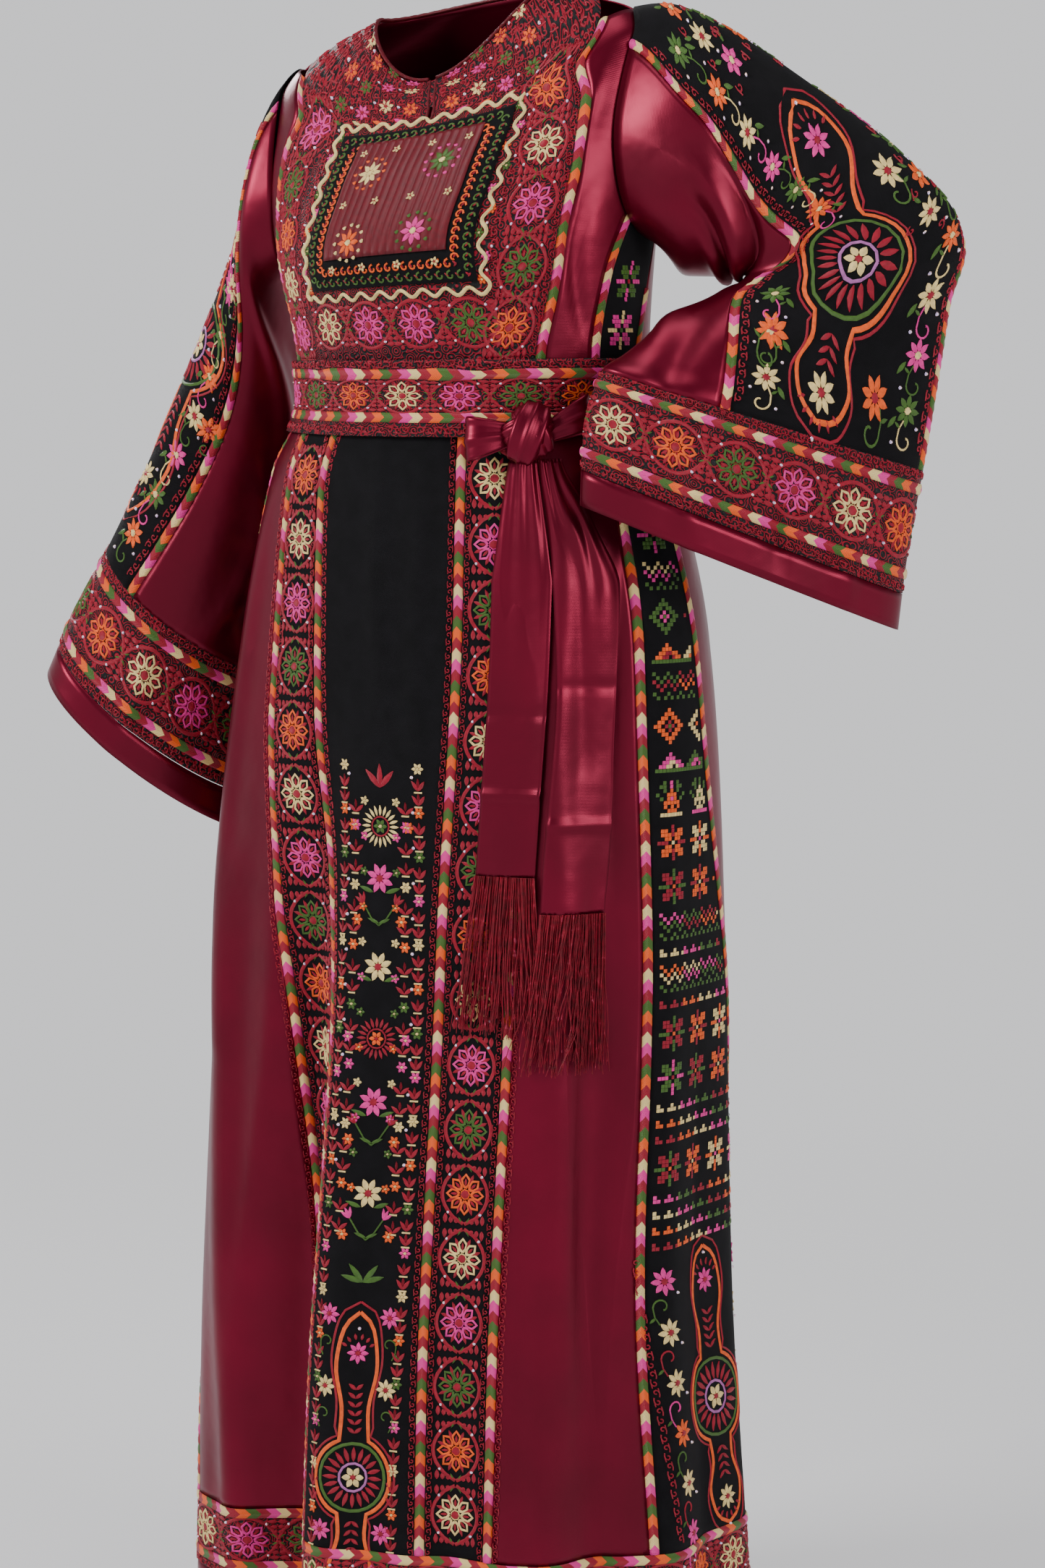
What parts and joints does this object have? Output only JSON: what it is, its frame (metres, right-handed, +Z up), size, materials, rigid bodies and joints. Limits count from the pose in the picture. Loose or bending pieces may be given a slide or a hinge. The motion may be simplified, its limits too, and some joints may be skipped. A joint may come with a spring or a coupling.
{
  "type": "palestinian thobe dress",
  "caption": "Long Palestinian thobe in dark red satin and black cloth, with embroidered chest panel, medallion bands, wide sleeves, belt and fringed sash.",
  "frame": {"origin": "on the neck opening's centre line, level with the back of the neck, where the wearer's shoulders hold the dress", "axes": "+Z up, -Y towards the dress's front, +X towards the dress's own left"},
  "size_m": [0.8433, 0.4326, 1.4506],
  "materials": {
    "satin": "smooth satin",
    "black_cloth": "matte plain weave",
    "embroidery": "silk thread embroidery",
    "braid": "silk chevron braid",
    "fringe": "silky strands"
  },
  "bodies": {
    "root": {"belt": "embroidery", "bodice_back": "satin", "bodice_braid_left": "braid", "bodice_braid_right": "braid", "bodice_front": "embroidery", "bodice_side_left": "satin", "bodice_side_right": "satin", "chest_panel": "black_cloth", "chest_ribs": "embroidery", "cuff_band_left": "embroidery", "cuff_band_right": "embroidery", "cuff_border_left": "satin", "cuff_border_right": "satin", "hem_band": "embroidery", "hem_border": "satin", "neck_cord": "embroidery", "sash_fringe_1": "fringe", "sash_fringe_2": "fringe", "sash_knot": "satin", "sash_loop_left": "satin", "sash_loop_right": "satin", "sash_tail_1": "satin", "sash_tail_2": "satin", "side_braid_left": "braid", "side_braid_right": "braid", "side_panel_left": "black_cloth", "side_panel_right": "black_cloth", "skirt_back": "satin", "skirt_band_left": "embroidery", "skirt_band_right": "embroidery", "skirt_braid_left_inner": "braid", "skirt_braid_left_outer": "braid", "skirt_braid_right_inner": "braid", "skirt_braid_right_outer": "braid", "skirt_centre_front": "black_cloth", "skirt_gore_left": "satin", "skirt_gore_right": "satin", "sleeve_braid_back_left": "braid", "sleeve_braid_back_right": "braid", "sleeve_braid_front_left": "braid", "sleeve_braid_front_right": "braid", "sleeve_gore_back_left": "satin", "sleeve_gore_back_right": "satin", "sleeve_gore_front_left": "satin", "sleeve_gore_front_right": "satin", "sleeve_panel_left": "black_cloth", "sleeve_panel_right": "black_cloth"}
  },
  "joints": []
}
